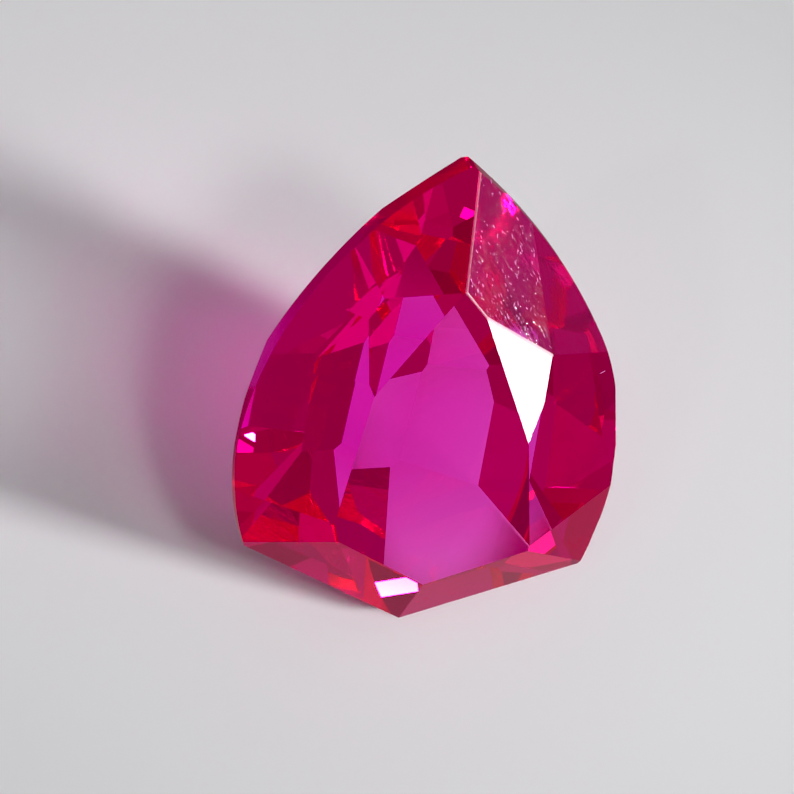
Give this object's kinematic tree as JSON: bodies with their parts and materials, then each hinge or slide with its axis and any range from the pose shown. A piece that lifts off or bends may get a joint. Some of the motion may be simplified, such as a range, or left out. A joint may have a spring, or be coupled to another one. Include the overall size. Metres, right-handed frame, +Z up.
{
  "type": "faceted sapphire",
  "caption": "Loose transparent pink sapphire cut to a shield outline, with a flat table, a faceted crown and a deep stepped pavilion, lying tipped on one pavilion facet.",
  "frame": {"origin": "On the surface the stone lies on, below the middle of its box.", "axes": "+Z is up from the resting facet. The stone's pointed apex leans up and back towards +Y, and its table faces up and towards -Y."},
  "size_m": [0.0122, 0.012, 0.0106],
  "materials": {
    "sapphire": "polished"
  },
  "bodies": {
    "root": {"sapphire": "sapphire"}
  },
  "joints": []
}
